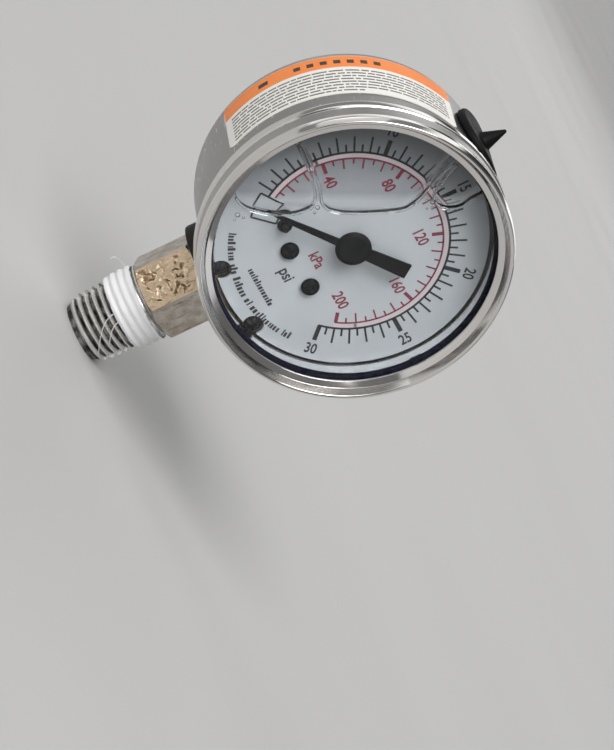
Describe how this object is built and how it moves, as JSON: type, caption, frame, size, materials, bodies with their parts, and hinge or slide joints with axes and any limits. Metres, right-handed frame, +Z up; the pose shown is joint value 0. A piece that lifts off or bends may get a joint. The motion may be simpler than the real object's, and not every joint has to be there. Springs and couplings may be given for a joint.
{
  "type": "pressure gauge",
  "caption": "Round liquid-filled dial pressure gauge with a bottom pipe-thread stem, hexagonal shank, steel bezel and a rubber fill plug on top.",
  "frame": {"origin": "centre of the open end of the threaded stem", "axes": "+Z up along the stem towards 12 o'clock, +X towards 3 o'clock, +Y towards the back of the case; the dial faces -Y"},
  "size_m": [0.0554, 0.0304, 0.0843],
  "materials": {
    "case_steel": "satin stainless with fine flecks",
    "bezel_steel": "polished lip and satin band",
    "stem_steel": "machined, warm tint on the stamped flat",
    "window_clear": "clear",
    "black_seal": "matt black",
    "plug_rubber": "semi-matt black",
    "dial_enamel": "matt light grey",
    "pointer_black": "satin black",
    "black_screws": "black oxide",
    "movement_brass": "machined",
    "spring_bronze": "drawn phosphor bronze",
    "pin_steel": "turned",
    "thread_tape": "white sealing tape",
    "case_label": "white label with an orange band"
  },
  "bodies": {
    "housing": {"case": "case_steel", "bezel_ring": "bezel_steel", "socket": "stem_steel", "window": "window_clear", "window_gasket": "black_seal", "socket_seal": "black_seal", "dial": "dial_enamel", "stop_pin": "black_screws", "dial_screw_left": "black_screws", "dial_screw_right": "black_screws", "socket_screw_left": "black_screws", "socket_screw_right": "black_screws", "movement_front_plate": "movement_brass", "movement_back_plate": "movement_brass", "movement_pillar_1": "movement_brass", "movement_pillar_2": "movement_brass", "movement_pillar_3": "movement_brass", "hairspring_stud": "movement_brass", "dial_spacer_left": "movement_brass", "dial_spacer_right": "movement_brass", "restrictor_screw": "movement_brass", "bourdon_tube": "spring_bronze", "hairspring": "spring_bronze", "pillar_screw_1": "pin_steel", "pillar_screw_2": "pin_steel", "pillar_screw_3": "pin_steel", "thread_tape": "thread_tape", "case_label": "case_label"},
    "pointer_assembly": {"pointer": "pointer_black", "pointer_arbor": "pin_steel", "hairspring_collet": "movement_brass"},
    "sector_assembly": {"sector_gear": "movement_brass", "sector_arbor": "pin_steel", "link_pin_sector": "pin_steel"},
    "tube_tip": {"tube_end_piece": "movement_brass", "link_pin_tip": "pin_steel"},
    "link_body": {"link": "movement_brass"},
    "plug_body": {"fill_plug": "plug_rubber"}
  },
  "joints": [
    {"name": "tip_flex", "type": "hinge", "parent": "housing", "child": "tube_tip", "pos_m": [-0.00225, 0.003, 0.05683], "axis": [0, -1, 0], "range_deg": [0, 7.4], "stiffness_Nm_per_rad": 0.01, "springref_deg": -17.19, "deforming": ["bourdon_tube"]},
    {"name": "pointer_turn", "type": "hinge", "parent": "housing", "child": "pointer_assembly", "pos_m": [0, -0.0075, 0.0525], "axis": [0, 1, 0], "range_deg": [0, 261], "deforming": ["hairspring"]},
    {"name": "sector_swing", "type": "hinge", "parent": "housing", "child": "sector_assembly", "pos_m": [0, -0.0068, 0.0425], "axis": [0, -1, 0], "range_deg": [0, 29.1]},
    {"name": "link_swing", "type": "hinge", "parent": "tube_tip", "child": "link_body", "pos_m": [0.01, -0.00575, 0.047], "axis": [0, -1, 0], "range_deg": [-15.6, 0]},
    {"name": "plug_pull", "type": "slide", "parent": "housing", "child": "plug_body", "axis": [0, 0, 1], "range_m": [0, 0.012]}
  ],
  "couplings": [
    {"joint": "pointer_turn", "follows": "tip_flex", "ratio": 35.27},
    {"joint": "sector_swing", "follows": "tip_flex", "ratio": 3.9189},
    {"joint": "link_swing", "follows": "tip_flex", "ratio": -2.0946}
  ]
}
